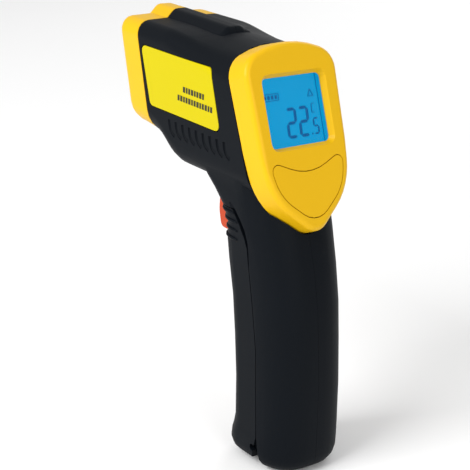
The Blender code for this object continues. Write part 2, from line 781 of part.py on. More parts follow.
def make_optics(materials):
    front = NOSE_BORDER_Y + NOSE_DEPTH
    sensor_top = LENS_TUBE_REAR_Y + SENSOR_HEIGHT
    tube = aimed(turned("lens_tube", [
        (SENSOR_RADIUS + 0.4, LENS_TUBE_REAR_Y),
        (LENS_TUBE_WAIST_RADIUS, LENS_TUBE_REAR_Y),
        (LENS_TUBE_WAIST_RADIUS, LENS_TUBE_WAIST_Y),
        (LENS_TUBE_RADIUS, LENS_TUBE_WAIST_Y),
        (LENS_TUBE_RADIUS, front),
        (LENS_BORE_RADIUS, front),
        (LENS_BORE_RADIUS, LENS_Y - GAP),
        (LENS_RADIUS - 1.0, LENS_Y - GAP),
        (SENSOR_RADIUS, sensor_top + 1.0),
        (SENSOR_RADIUS + 0.4, sensor_top + 0.6),
    ], 32))
    post_rear = LENS_TUBE_REAR_Y - 2.2
    for side in (-1, 1):
        x = side * SENSOR_POST_X
        join(tube, aimed(rod("post", 2.2, post_rear, LENS_TUBE_WAIST_Y + 0.5, 16), x))
        cut(tube, aimed(rod("pilot", SCREW_RADIUS, post_rear - 1, post_rear + 7, 12), x))
    cut(tube, nose_half_space("tube_front", NOSE_DEPTH - 1.2, True))
    smooth(tube)
    finish(tube, materials["black_abs"])

    lens = [(0.0, LENS_Y), (LENS_RADIUS, LENS_Y), (LENS_RADIUS, LENS_Y + 0.6)]
    lens += [(LENS_RADIUS * 0.6, LENS_Y + 1.1), (0.0, LENS_Y + 1.3)]
    finish(aimed(turned("infrared_lens", lens, 28)), materials["lens"])
    ring_rear = LENS_Y + 0.6 + GAP
    outer, inner = LENS_BORE_RADIUS - GAP, LENS_RADIUS - 1.2
    finish(aimed(turned("lens_ring", [
        (LENS_RADIUS - 0.6, ring_rear),
        (outer, ring_rear),
        (outer, ring_rear + 1.6),
        (inner, ring_rear + 1.6),
        (inner, ring_rear + 0.9),
    ], 28)), materials["black_abs"])

    finish(aimed(turned("infrared_sensor", [
        (0.0, post_rear),
        (SENSOR_RADIUS + 0.5, post_rear),
        (SENSOR_RADIUS + 0.5, post_rear + 0.8),
        (SENSOR_RADIUS, post_rear + 0.8),
        (SENSOR_RADIUS, sensor_top - GAP),
        (0.0, sensor_top - GAP),
    ], 20)), materials["steel"])
    width, thickness, height = SENSOR_BOARD
    board_front = post_rear - GAP
    board = box(
        "sensor_board",
        (-width / 2, board_front - thickness, LENS_AXIS_Z - height / 2),
        (width / 2, board_front, LENS_AXIS_Z + height / 2),
    )
    for side, name in ((-1, "sensor_screw_left"), (1, "sensor_screw_right")):
        x = side * SENSOR_POST_X
        cut(board, aimed(rod("hole", SCREW_RADIUS, 0.0, 80.0, 12), x))
        rear = board_front - thickness - GAP
        finish(aimed(turned(name, [
            (0.0, rear - 1.2),
            (1.8, rear - 1.2),
            (1.8, rear),
            (0.8, rear),
            (0.8, post_rear + 6.0),
            (0.0, post_rear + 6.0),
        ], 12), x), materials["steel"])
    finish(board, materials["board"])

    finish(aimed(turned("laser_barrel", [
        (0.0, LASER_REAR_Y),
        (LASER_RADIUS, LASER_REAR_Y),
        (LASER_RADIUS, LASER_FRONT_Y),
        (LASER_APERTURE_RADIUS, LASER_FRONT_Y),
        (LASER_APERTURE_RADIUS, LASER_FRONT_Y - 1.5),
        (0.0, LASER_FRONT_Y - 1.5),
    ], 20), z=LASER_AXIS_Z), materials["brass"])
    window = rod("laser_window", LASER_APERTURE_RADIUS - GAP, -0.5, 0.5)
    finish(aimed(window, y=LASER_FRONT_Y + 0.8, z=LASER_AXIS_Z), materials["clear"])
    board = rod("laser_board", LASER_RADIUS - 0.1, -1.3, -GAP)
    finish(aimed(board, y=LASER_REAR_Y, z=LASER_AXIS_Z), materials["board"])
    low_z = LENS_AXIS_Z + LENS_TUBE_WAIST_RADIUS * 0.8
    top_z = DECK_Z - WALL - 0.4
    saddle = box("laser_saddle", (-4.5, LASER_REAR_Y - 1, low_z), (4.5, 68.0, top_z))
    clearance = rod("clearance", LENS_TUBE_WAIST_RADIUS + GAP, 50, 80, 32)
    channel = rod("channel", LASER_RADIUS + GAP, 50, 90)
    cut(saddle, aimed(clearance), aimed(channel, z=LASER_AXIS_Z))
    finish(saddle, materials["black_abs"])


# ---- rear bezel, display and key --------------------------------------------------------
def make_bezel(panel, materials):
    rings = [panel_ring(0.0, BEZEL_DEPTH)]
    for i in range(6):
        angle = math.pi / 2 * i / 5
        inset = BEZEL_DRAFT + BEZEL_EDGE_RADIUS * (1 - math.cos(angle))
        rings.append(panel_ring(inset, BEZEL_EDGE_RADIUS * (1 - math.sin(angle))))
    bezel = loft("rear_bezel", rings)
    cut(bezel, panel_block("room", WALL, BEZEL_WALL, BEZEL_DEPTH + 5))
    rim_end = BEZEL_DEPTH + SPIGOT_REACH
    rim = panel_block("rim", WALL + GAP, BEZEL_DEPTH - 3.0, rim_end)
    join(rim, panel_block("ledge", WALL / 2, BEZEL_DEPTH - 3.0, BEZEL_DEPTH - 1.0))
    inner = WALL + GAP + SPIGOT_THICKNESS
    cut(rim, panel_block("rim_room", inner, BEZEL_DEPTH - 5.0, rim_end + 5.0))
    cut(rim, panel_box("below", 40.0, -60.0, -14.0, 0.0, 30.0))
    join(bezel, rim)
    for x, s in BOARD_POSTS:
        post = rod("post", POST_RADIUS, GAP - BOARD_DEPTH, -BEZEL_WALL + 0.5, 14)
        join(bezel, place(post, (x, s, 0)))
        pilot = rod("pilot", 0.8 + GAP, -BOARD_DEPTH - 1, -4.0, 12)
        cut(bezel, place(pilot, (x, s, 0)))
    half_x, half_s = DISPLAY_WIDTH / 2, DISPLAY_HEIGHT / 2
    levels = [(0.0, BEZEL_WALL + 1), (0.0, BEZEL_WALL - 0.3), (DISPLAY_BEVEL * 1.25, -0.5)]
    window = loft("window_opening", [[
        (x, s, -depth) for x, s in
        rounded(rectangle(half_x + grow, -half_s - grow, half_s + grow, 1.8 + grow), 3)
    ] for grow, depth in levels])
    cut(bezel, window, key_block("key_opening", -GAP, -1.0, BEZEL_WALL + 1))
    smooth(bezel)
    finish(bezel, materials["yellow_abs"], panel)


def key_block(name, inset, top, bottom):
    ring = rounded(inset_corners(mirrored(KEY_CORNERS), inset), 5)
    return loft(name, [[(x, s, -depth) for x, s in ring] for depth in (bottom, top)])


def make_display(panel, materials):
    half_x = DISPLAY_WIDTH / 2 + WINDOW_OVERLAP
    half_s = DISPLAY_HEIGHT / 2 + WINDOW_OVERLAP
    top = BEZEL_WALL + GAP
    layers = [
        ("display_window", WINDOW_THICKNESS, -half_s, "clear"),
        ("display_glass", GLASS_THICKNESS, -half_s, "glass"),
        ("backlight", BACKLIGHT_THICKNESS, -half_s + STRIP_WIDTH + 2 * GAP, "backlight"),
    ]
    for name, thickness, low_s, material in layers:
        layer = panel_box(name, half_x, low_s, half_s, top, top + thickness)
        finish(layer, materials[material], panel)
        top += thickness + GAP
    strip_top = top - BACKLIGHT_THICKNESS - GAP
    low_s = -half_s + GAP
    strip_low = BOARD_DEPTH - GAP
    strip = panel_box("contact_strip", half_x - 1.0, low_s, low_s + STRIP_WIDTH, strip_top, strip_low)
    finish(strip, materials["rubber"], panel)
    inner_x, inner_s = half_x + GAP, half_s + GAP
    outer_x, outer_s = inner_x + HOLDER_WALL, inner_s + HOLDER_WALL
    holder = panel_box(
        "display_holder", outer_x, -outer_s, outer_s, BEZEL_WALL + GAP, BOARD_DEPTH - GAP
    )
    cut(holder, panel_box("inside", inner_x, -inner_s, inner_s, 0.0, 20.0))
    finish(holder, materials["white_abs"], panel)


def make_key(panel, materials):
    pivot = add_empty("key_guide", (0, KEY_CENTRE_S, 0), parent=panel)
    flange_top = BEZEL_WALL + GAP + 0.1
    plunger_top = BOARD_DEPTH - GAP - SWITCH_HEIGHT - 1.0
    key = key_block("key_cap", 0.0, 0.0, flange_top + 0.5)
    join(key, key_block("flange", -KEY_FLANGE, flange_top, flange_top + 1.0))
    stem = rod("stem", KEY_STEM_RADIUS, -plunger_top + GAP, -flange_top - 0.5, 16)
    join(key, place(stem, (0, KEY_CENTRE_S, 0)))
    smooth(key)
    key.location = (0, -KEY_CENTRE_S * MM, 0)
    finish(key, materials["yellow_abs"], pivot)
    body_low = BOARD_DEPTH - GAP
    body_top = body_low - SWITCH_HEIGHT
    half = SWITCH_SIZE / 2
    body = panel_box("key_switch", half, -half, half, body_top, body_low)
    cut(body, rod("well", PLUNGER_RADIUS + GAP, -body_top - SWITCH_HEIGHT * 0.8, 0.0, 16))
    finish(place(body, (0, KEY_CENTRE_S, 0)), materials["switch"], panel)
    plunger = rod("key_switch_plunger", PLUNGER_RADIUS, -body_top - 0.8, -plunger_top, 16)
    finish(plunger, materials["switch_button"], pivot)


def make_board(panel, materials):
    outline = rounded(mirrored([
        (9.0, BOARD_BOTTOM_S, 1.0),
        (BOARD_HALF_WIDTH, BOARD_BOTTOM_S + 17.0, 1.0),
        (BOARD_HALF_WIDTH, BOARD_TOP_S - 7.0, 1.0),
        (8.8, BOARD_TOP_S, 1.0),
    ]), 2)
    front = BOARD_DEPTH + BOARD_THICKNESS
    board = prism("main_board", outline, -front, -BOARD_DEPTH, upright)
    for number, (x, s) in enumerate(BOARD_POSTS, 1):
        cut(board, place(rod("hole", 0.8 + GAP, -20.0, 0.0, 12), (x, s, 0)))
        seat = -front - GAP
        screw = turned(f"board_screw_{number}", [
            (0.0, seat - 1.1),
            (1.7, seat - 1.1),
            (1.7, seat),
            (0.8, seat),
            (0.8, -BOARD_DEPTH + 4.5),
            (0.0, -BOARD_DEPTH + 4.5),
        ], 12)
        finish(place(screw, (x, s, 0)), materials["steel"], panel)
    finish(board, materials["board"], panel)
    low = front + GAP
    chip = box("processor", (1.0, -5.0, -low - 1.4), (11.0, 5.0, -low))
    finish(chip, materials["switch"], panel)
    buzzer = turned("buzzer", [
        (0.0, -low - 3.0), (1.0, -low - 3.0), (1.0, -low - 2.4), (5.5, -low - 2.4),
        (5.5, -low), (0.0, -low),
    ], 20)
    finish(place(buzzer, (-7.5, 4.0, 0)), materials["switch"], panel)


# ---- trigger ----------------------------------------------------------------------------
def make_trigger(materials):
    pivot = add_empty("trigger_pivot", (0, *TRIGGER_PIVOT), parent=bpy.data.objects["thermometer"])
    pivot_y, pivot_z = TRIGGER_PIVOT
    back = TRIGGER_BACK_Y
    top = TRIGGER_SLOT_TOP_Z - 0.6
    bottom = TRIGGER_SLOT_BOTTOM_Z + 1.7
    outline = rounded([
        (back, bottom, 1.5),
        (back + 14.9, bottom, 2.2),
        (back + 16.6, bottom + 6.0, 10.0),
        (back + 16.2, top - 2.6, 1.0),
        (pivot_y + 3.0, top, 3.0),
        (pivot_y + 1.4, pivot_z + 3.0, 1.2),
        (pivot_y - 3.1, pivot_z + 3.0, 2.0),
        (pivot_y - 3.1, pivot_z - 2.8, 1.5),
        (back, pivot_z - 6.0, 1.0),
    ], 4)
    half = TRIGGER_HALF_WIDTH
    trigger = prism("trigger", outline, -half, half, across)
    nub_y = back - TRIGGER_NUB_LENGTH
    nub_z = TRIGGER_SWITCH_Z
    join(trigger, box("nub", (-1.6, nub_y, nub_z - 1.2), (1.6, back + 1.0, nub_z + 1.2)))
    bore = circle(*TRIGGER_PIVOT, TRIGGER_PIN_RADIUS + GAP, 16)
    cut(trigger, prism("bore", bore, -30, 30, across))
    smooth(trigger)
    trigger.location = (0, -pivot_y * MM, -pivot_z * MM)
    finish(trigger, materials["orange_abs"], pivot)

    reach = TRIGGER_PIN_HALF_LENGTH
    pin = place(rod("trigger_pin", TRIGGER_PIN_RADIUS, -reach, reach, 16),
                (0, pivot_y, pivot_z), (0, math.pi / 2, 0))
    finish(pin, materials["steel"])

    rib_front = TRIGGER_RIB_Y + TRIGGER_RIB_THICKNESS
    board_rear = rib_front + GAP
    board_front = board_rear + TRIGGER_BOARD_THICKNESS
    board = box("trigger_board", (-6.0, board_rear, nub_z - 4.2), (6.0, board_front, nub_z + 4.2))
    finish(board, materials["board"])
    body_rear = board_front + GAP
    body_front = body_rear + TRIGGER_SWITCH_DEPTH
    half = SWITCH_SIZE / 2
    body = box("trigger_switch", (-half, body_rear, nub_z - half), (half, body_front, nub_z + half))
    well = rod("well", PLUNGER_RADIUS + GAP, body_front - 2.7, body_front + 1.0, 16)
    cut(body, aimed(well, z=nub_z))
    finish(body, materials["switch"])
    plunger = rod("trigger_switch_plunger", PLUNGER_RADIUS, body_front - 1.6, nub_y - GAP, 16)
    finish(aimed(plunger, z=nub_z), materials["switch_button"])

    start = rib_front + SPRING_WIRE_RADIUS + GAP
    end = back - SPRING_WIRE_RADIUS - GAP
    finish(make_spring("trigger_spring", start, end), materials["steel"])


def make_spring(name, start, end):
    """Compression spring that lies along Y."""
    steps = 12 * SPRING_TURNS
    rings = []
    for i in range(steps + 1):
        turn = 2 * math.pi * SPRING_TURNS * i / steps
        along_y = start + (end - start) * i / steps
        outward = Vector((math.cos(turn), 0, math.sin(turn)))
        centre = Vector((0, along_y, SPRING_Z)) + outward * SPRING_RADIUS
        ring = []
        for k in range(6):
            angle = 2 * math.pi * k / 6
            sideways = Vector((0, 1, 0)) * math.sin(angle)
            ring.append(tuple(
                centre + (outward * math.cos(angle) + sideways) * SPRING_WIRE_RADIUS
            ))
        rings.append(ring)
    return loft(name, rings, smooth_angle=60.0)


# ---- battery and its door ---------------------------------------------------------------
def make_battery(materials):
    width, depth, height = BATTERY
    case = rounded(rectangle(width / 2, -depth / 2, depth / 2, 2.5), 4)
    battery = prism("battery", case, -height / 2, height / 2, upright)
    cap_low = height / 2 + GAP
    cap = rounded(rectangle(width / 2 - 1.0, -depth / 2 + 1.5, depth / 2 - 1.5, 2.0), 3)
    cap = prism("battery_snap", cap, cap_low, cap_low + SNAP_HEIGHT, upright)
    for side, radius in ((-1, 2.9), (1, 3.8)):
        x = side * TERMINAL_SPACING / 2
        top = height / 2 + TERMINAL_HEIGHT
        terminal = rod("terminal", radius, height / 2 - 1.0, top, 16)
        join(battery, place(terminal, (x, 0, 0)))
        socket = rod("socket", radius + GAP, 0.0, top + GAP, 16)
        cut(cap, place(socket, (x, 0, 0)))
    smooth(battery)
    for piece, material in ((battery, "battery"), (cap, "rubber")):
        finish(place(piece, BATTERY_CENTRE, (-HANDLE_LEAN, 0, 0)), materials[material])
    rise = cap_low + SNAP_HEIGHT + GAP
    start_y = BATTERY_CENTRE[1] + rise * math.sin(HANDLE_LEAN)
    start_z = BATTERY_CENTRE[2] + rise * math.cos(HANDLE_LEAN)
    board_front = BOARD_DEPTH + BOARD_THICKNESS
    low_s = BOARD_BOTTOM_S + 2.0
    end_y = PANEL_Y + low_s * math.sin(PANEL_TILT) + board_front * math.cos(PANEL_TILT)
    end_y += LEAD_RADIUS + GAP + 0.1
    end_z = PANEL_Z + low_s * math.cos(PANEL_TILT) - board_front * math.sin(PANEL_TILT)
    for name, side, material in (("lead_red", -1, "red"), ("lead_black", 1, "black_lead")):
        x = side * TERMINAL_SPACING / 2
        make_lead(name, [
            (x, start_y, start_z + LEAD_RADIUS),
            (x, start_y - 0.2, start_z + 4.0),
            (x * 1.1, start_y - 1.6, start_z + 12.0),
            (x * 0.9, start_y - 1.2, start_z + 22.0),
            (side * 5.0, end_y - 0.6, end_z - 4.0),
            (side * 4.6, end_y, end_z),
        ], materials[material])


def make_lead(name, points, material):
    """Insulated wire through hand-placed points, smoothed between them."""
    path = []
    for i in range(len(points) - 1):
        before = Vector(points[max(i - 1, 0)])
        start, end = Vector(points[i]), Vector(points[i + 1])
        after = Vector(points[min(i + 2, len(points) - 1)])
        for k in range(4):
            t = k / 4
            path.append(0.5 * (
                2 * start + (end - before) * t
                + (2 * before - 5 * start + 4 * end - after) * t ** 2
                + (3 * start - before - 3 * end + after) * t ** 3
            ))
    path.append(Vector(points[-1]))
    curve = bpy.data.curves.new(name, "CURVE")
    curve.dimensions = "3D"
    curve.bevel_depth = LEAD_RADIUS * MM
    curve.bevel_resolution = 2
    curve.use_fill_caps = True
    spline = curve.splines.new("POLY")
    spline.points.add(len(path) - 1)
    for point, place_at in zip(spline.points, path):
        point.co = (*(place_at * MM), 1.0)
    lead = bpy.data.objects.new(name, curve)
    bpy.context.collection.objects.link(lead)
    finish(lead, material)


def make_door(materials):
    root = bpy.data.objects["thermometer"]
    hinge = add_empty("battery_door_hinge", (0, HINGE_Y, HINGE_Z), parent=root)
    door = handle_skin("battery_door")
    keep_inside(door, door_prism("door_region"))
    floor_top = DOOR_BOTTOM_Z + WALL
    cut(door, handle_skin("door_room", WALL, floor_top))
    reach = KNUCKLE_HALF_LENGTH
    rear = HINGE_Y - DOOR_TONGUE_REACH
    join(door, box("tongue", (-reach, rear, DOOR_BOTTOM_Z), (reach, 4.0, floor_top)))
    web = box("web", (-reach, HINGE_Y - 1.5, floor_top - 0.5), (reach, HINGE_Y + 1.8, HINGE_Z))
    knuckle = circle(HINGE_Y, HINGE_Z, HINGE_LUG_RADIUS - 0.1, 16)
    join(door, web, prism("knuckle", knuckle, -reach, reach, across))
    bore = circle(HINGE_Y, HINGE_Z, HINGE_PIN_RADIUS + GAP, 16)
    cut(door, prism("bore", bore, -30, 30, across), trigger_slot("slot"))
    smooth(door)
    door.location = (0, -HINGE_Y * MM, -HINGE_Z * MM)
    finish(door, materials["black_abs"], hinge)
    length = KNUCKLE_HALF_LENGTH + LUG_THICKNESS - GAP
    pin = place(rod("battery_door_pin", HINGE_PIN_RADIUS, -length, length, 16),
                (0, HINGE_Y, HINGE_Z), (0, math.pi / 2, 0))
    finish(pin, materials["steel"])


# ---- screws and assembly ----------------------------------------------------------------
def make_shell_screws(materials):
    for number, (y, z) in enumerate(SHELL_SCREWS, 1):
        seat = screw_seat_x(y, z) + GAP
        screw = turned(f"shell_screw_{number}", [
            (0.0, -SCREW_REACH),
            (SCREW_RADIUS, -SCREW_REACH),
            (SCREW_RADIUS, seat),
            (SCREW_HEAD_RADIUS, seat),
            (SCREW_HEAD_RADIUS, seat + SCREW_HEAD_HEIGHT * 0.6),
            (SCREW_HEAD_RADIUS * 0.6, seat + SCREW_HEAD_HEIGHT),
            (0.0, seat + SCREW_HEAD_HEIGHT),
        ], 14)
        finish(place(screw, (0, y, z), (0, math.pi / 2, 0)), materials["steel"])


def make_materials():
    looks = {
        "black_abs": (BLACK, 0.55, 0.0),
        "yellow_abs": (YELLOW, 0.4, 0.0),
        "orange_abs": (ORANGE, 0.45, 0.0),
        "white_abs": ((0.75, 0.75, 0.72), 0.5, 0.0),
        "label": ((0.90, 0.78, 0.01), 0.35, 0.0),
        "clear": ((0.75, 0.85, 0.9), 0.05, 0.0),
        "glass": ((0.02, 0.32, 0.60), 0.1, 0.0),
        "backlight": ((0.03, 0.35, 0.75), 0.4, 0.0),
        "lens": ((0.75, 0.75, 0.70), 0.3, 0.0),
        "board": ((0.02, 0.18, 0.06), 0.45, 0.0),
        "switch": ((0.03, 0.03, 0.035), 0.4, 0.0),
        "switch_button": ((0.6, 0.6, 0.58), 0.4, 0.0),
        "rubber": ((0.03, 0.03, 0.03), 0.8, 0.0),
        "battery": ((0.10, 0.10, 0.11), 0.35, 0.6),
        "red": ((0.55, 0.02, 0.02), 0.45, 0.0),
        "black_lead": ((0.02, 0.02, 0.02), 0.45, 0.0),
        "steel": ((0.6, 0.6, 0.6), 0.3, 1.0),
        "brass": ((0.75, 0.55, 0.22), 0.3, 1.0),
    }
    materials = {}
    for name, (colour, roughness, metallic) in looks.items():
        material = bpy.data.materials.new(name)
        material.use_nodes = True
        shader = material.node_tree.nodes["Principled BSDF"]
        shader.inputs["Base Color"].default_value = (*colour, 1.0)
        shader.inputs["Roughness"].default_value = roughness
        shader.inputs["Metallic"].default_value = metallic
        material.diffuse_color = (*colour, 1.0)
        materials[name] = material
    return materials


def finish(item, material, parent=None):
    """Give a piece its material and hang it on the assembly."""
    item.data.materials.clear()
    item.data.materials.append(material)
    item.parent = parent or bpy.data.objects["thermometer"]
    return item


def build():
    clear_scene()
    materials = make_materials()
    back = HANDLE_STATIONS[0][1]
    middle = (back + NOSE_BORDER_Y + NOSE_DEPTH) / 2
    root = add_empty("thermometer", (0, -middle, -BASE_Z))
    panel = add_empty(
        "rear_panel", (0, PANEL_Y, PANEL_Z), (math.pi / 2 - PANEL_TILT, 0, 0), root
    )
    make_shells(make_shell_body(), materials)
    finish(make_label("label_left", -1), materials["label"])
    finish(make_label("label_right", 1), materials["label"])
    finish(make_nose(), materials["yellow_abs"])
    make_optics(materials)
    make_bezel(panel, materials)
    make_display(panel, materials)
    make_key(panel, materials)
    make_board(panel, materials)
    make_trigger(materials)
    make_battery(materials)
    make_door(materials)
    make_shell_screws(materials)


build()
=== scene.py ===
"""Looks of a pistol-grip infrared thermometer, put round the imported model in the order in
which it is assembled: studio, black shells, yellow nose and rear bezel, key, display, labels,
trigger, metals, trigger spring, battery door, and what the housing holds.
"""
import math

import bmesh
import bpy
from mathutils import Matrix, Vector
from mathutils.bvhtree import BVHTree


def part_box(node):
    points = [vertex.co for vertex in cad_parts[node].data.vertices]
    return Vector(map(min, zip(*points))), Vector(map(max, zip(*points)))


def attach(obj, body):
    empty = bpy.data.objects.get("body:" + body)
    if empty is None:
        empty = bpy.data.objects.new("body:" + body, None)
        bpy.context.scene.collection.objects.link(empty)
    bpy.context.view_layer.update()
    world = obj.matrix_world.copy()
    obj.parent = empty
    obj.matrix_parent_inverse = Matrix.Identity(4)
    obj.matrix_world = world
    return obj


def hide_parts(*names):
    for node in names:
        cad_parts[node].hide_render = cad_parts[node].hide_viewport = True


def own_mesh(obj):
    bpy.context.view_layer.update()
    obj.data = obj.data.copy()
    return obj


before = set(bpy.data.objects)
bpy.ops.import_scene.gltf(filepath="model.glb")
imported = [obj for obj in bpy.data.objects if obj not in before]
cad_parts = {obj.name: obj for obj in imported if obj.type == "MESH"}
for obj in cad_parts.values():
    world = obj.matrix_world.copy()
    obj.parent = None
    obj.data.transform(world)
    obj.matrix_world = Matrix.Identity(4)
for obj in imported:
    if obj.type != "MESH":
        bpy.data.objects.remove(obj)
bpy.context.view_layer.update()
MM = 0.001

# ---- studio -----------------------------------------------------------------------------
# A white paper sweep under soft light: a large lamp high on the left, a weak one on the
# right, and an even pale surround. The camera looks down a little from the rear left.
scene = bpy.context.scene
scene.view_settings.view_transform = "Standard"


def linear(hex_colour):
    """Linear colour with alpha, from an sRGB hex value."""
    channels = [int(hex_colour[i:i + 2], 16) / 255 for i in (1, 3, 5)]
    return (*[
        c / 12.92 if c <= 0.04045 else ((c + 0.055) / 1.055) ** 2.4 for c in channels
    ], 1.0)


def add_node(tree, kind, settings=None, **links):
    """A node with its settings, its input values by socket name, and its links."""
    node = tree.nodes.new(kind)
    for name, value in (settings or {}).items():
        setattr(node, name, value)
    for name, value in links.items():
        key = int(name[1:]) if name[0] == "_" and name[1:].isdigit() else name.replace("_", " ")
        socket = node.inputs[key]
        if isinstance(value, bpy.types.NodeSocket):
            tree.links.new(value, socket)
        else:
            socket.default_value = value
    return node


camera_data = bpy.data.cameras.new("camera")
camera_data.sensor_width = 36.0
camera_data.lens = 103.42
camera = bpy.data.objects.new("camera", camera_data)
scene.collection.objects.link(camera)
camera_place = Vector((-0.28599, -0.36680, 0.24059))
side_axis = Vector((0.79747, -0.60180, 0.04339))
up_axis = Vector((0.17162, 0.29520, 0.93990))
back_axis = Vector((-0.57844, -0.74209, 0.33869))
turned = Matrix((side_axis, up_axis, back_axis)).transposed().to_4x4()
camera.matrix_world = Matrix.Translation(camera_place) @ turned
scene.camera = camera

floor_half = 4.0
floor_z = -0.2 * MM
floor_mesh = bpy.data.meshes.new("paper_sweep")
floor_mesh.from_pydata(
    [(x * floor_half, y * floor_half, floor_z) for x, y in ((-1, -1), (1, -1), (1, 1), (-1, 1))],
    [], [(0, 1, 2, 3)],
)
floor = bpy.data.objects.new("paper_sweep", floor_mesh)
scene.collection.objects.link(floor)
# Matt white paper: even, with no gloss.
paper = bpy.data.materials.new("matt_paper")
paper.use_nodes = True
paper_shader = paper.node_tree.nodes["Principled BSDF"]
paper_shader.inputs["Base Color"].default_value = linear("#f7f7f7")
paper_shader.inputs["Roughness"].default_value = 0.9
paper_shader.inputs["Specular IOR Level"].default_value = 0.1
floor_mesh.materials.append(paper)

world = bpy.data.worlds.new("surround")
world.use_nodes = True
world.node_tree.nodes["Background"].inputs["Color"].default_value = (1.0, 1.0, 1.0, 1.0)
world.node_tree.nodes["Background"].inputs["Strength"].default_value = 0.55
scene.world = world

lamp_target = Vector((0, 0, 0.08))
for lamp_name, lamp_size, lamp_power, lamp_at in (
    ("lamp_left", 0.7, 13.0, (-0.95, 0.0, 0.75)),
    ("lamp_front", 0.8, 5.0, (-0.1, -1.3, 0.6)),
    ("lamp_right", 0.8, 4.0, (1.0, 0.5, 0.7)),
):
    lamp_data = bpy.data.lights.new(lamp_name, "AREA")
    lamp_data.size = lamp_size
    lamp_data.energy = lamp_power
    lamp = bpy.data.objects.new(lamp_name, lamp_data)
    scene.collection.objects.link(lamp)
    lamp.location = lamp_at
    lamp.rotation_euler = (lamp_target - lamp.location).to_track_quat("-Z", "Y").to_euler()

# ---- black shells -----------------------------------------------------------------------
# The two halves of the housing, injection moulded in black ABS from a spark-eroded tool,
# and screwed together on the middle plane. Nine bent grooves are sunk in each flank under
# the label, and a scoop runs down beside the door's edge.


def new_material(name):
    """A material with its node tree, its shader, and its object coordinates."""
    material = bpy.data.materials.new(name)
    material.use_nodes = True
    tree = material.node_tree
    place = add_node(tree, "ShaderNodeTexCoord").outputs["Object"]
    return material, tree, tree.nodes["Principled BSDF"], place


def shade(colour, factor):
    """A linear colour made darker or lighter by a factor."""
    return (*[min(1.0, c * factor) for c in colour[:3]], 1.0)


def plastic(name, colour, roughness, specular, grain_mm, depth, mottle=0.04):
    """Moulded thermoplastic: even colour with a faint mottle and a fine spark-eroded grain."""
    material, tree, shader, place = new_material(name)
    base = linear(colour)
    flow = add_node(tree, "ShaderNodeTexNoise", Vector=place, Scale=60.0, Detail=2.0)
    tint = add_node(
        tree, "ShaderNodeMix", {"data_type": "RGBA"}, Factor=flow.outputs["Fac"],
        _6=shade(base, 1 - mottle), _7=shade(base, 1 + mottle),
    )
    tree.links.new(tint.outputs[2], shader.inputs["Base Color"])
    grain = add_node(
        tree, "ShaderNodeTexNoise", Vector=place, Scale=1000.0 / grain_mm, Detail=3.0
    )
    bump = add_node(
        tree, "ShaderNodeBump", Strength=depth, Distance=0.0001, Height=grain.outputs["Fac"]
    )
    tree.links.new(bump.outputs["Normal"], shader.inputs["Normal"])
    rough = add_node(
        tree, "ShaderNodeMapRange", Value=grain.outputs["Fac"],
        To_Min=roughness - 0.05, To_Max=roughness + 0.05,
    )
    tree.links.new(rough.outputs["Result"], shader.inputs["Roughness"])
    shader.inputs["Specular IOR Level"].default_value = specular
    shader.inputs["IOR"].default_value = 1.52
    return material


def moulding(node, crease=32.0):
    """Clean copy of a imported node: corners merged, flats made whole, curves shaded smooth."""
    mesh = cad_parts[node].data.copy()
    for layer in [a for a in mesh.attributes if a.name == "custom_normal"]:
        mesh.attributes.remove(layer)
    work = bmesh.new()
    work.from_mesh(mesh)
    bmesh.ops.remove_doubles(work, verts=work.verts, dist=1e-6)
    bmesh.ops.dissolve_limit(
        work, angle_limit=math.radians(0.6), verts=work.verts, edges=work.edges
    )
    work.to_mesh(mesh)
    work.free()
    mesh.materials.clear()
    mesh.shade_smooth()
    mesh.set_sharp_from_angle(angle=math.radians(crease))
    piece = bpy.data.objects.new(node + "_moulding", mesh)
    scene.collection.objects.link(piece)
    return piece


def apply_modifiers(piece):
    """Turn what a piece's modifiers make into its mesh."""
    bpy.context.view_layer.update()
    shape = piece.evaluated_get(bpy.context.evaluated_depsgraph_get())
    piece.data = bpy.data.meshes.new_from_object(shape)
    piece.modifiers.clear()
    return piece


def settle(piece):
    """Weight a piece's normals by the size of its faces, so that flats stay flat."""
    piece.modifiers.new("normals", "WEIGHTED_NORMAL").keep_sharp = True
    return apply_modifiers(piece)


def carve(piece, cutter):
    """Cut a piece with another shape, which is used up."""
    tool = piece.modifiers.new("carve", "BOOLEAN")
    tool.operation = "DIFFERENCE"
    tool.object = cutter
    tool.solver = "EXACT"
    apply_modifiers(piece)
    bpy.data.objects.remove(cutter)


def fit(piece, node, body, material):
    """Give a piece its material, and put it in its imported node's place."""
    piece.data.materials.clear()
    piece.data.materials.append(material)
    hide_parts(node)
    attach(piece, body)


def surface(piece):
    """Ray test against a piece as it is now."""
    return BVHTree.FromPolygons(
        [v.co.copy() for v in piece.data.vertices],
        [list(p.vertices) for p in piece.data.polygons],
    )


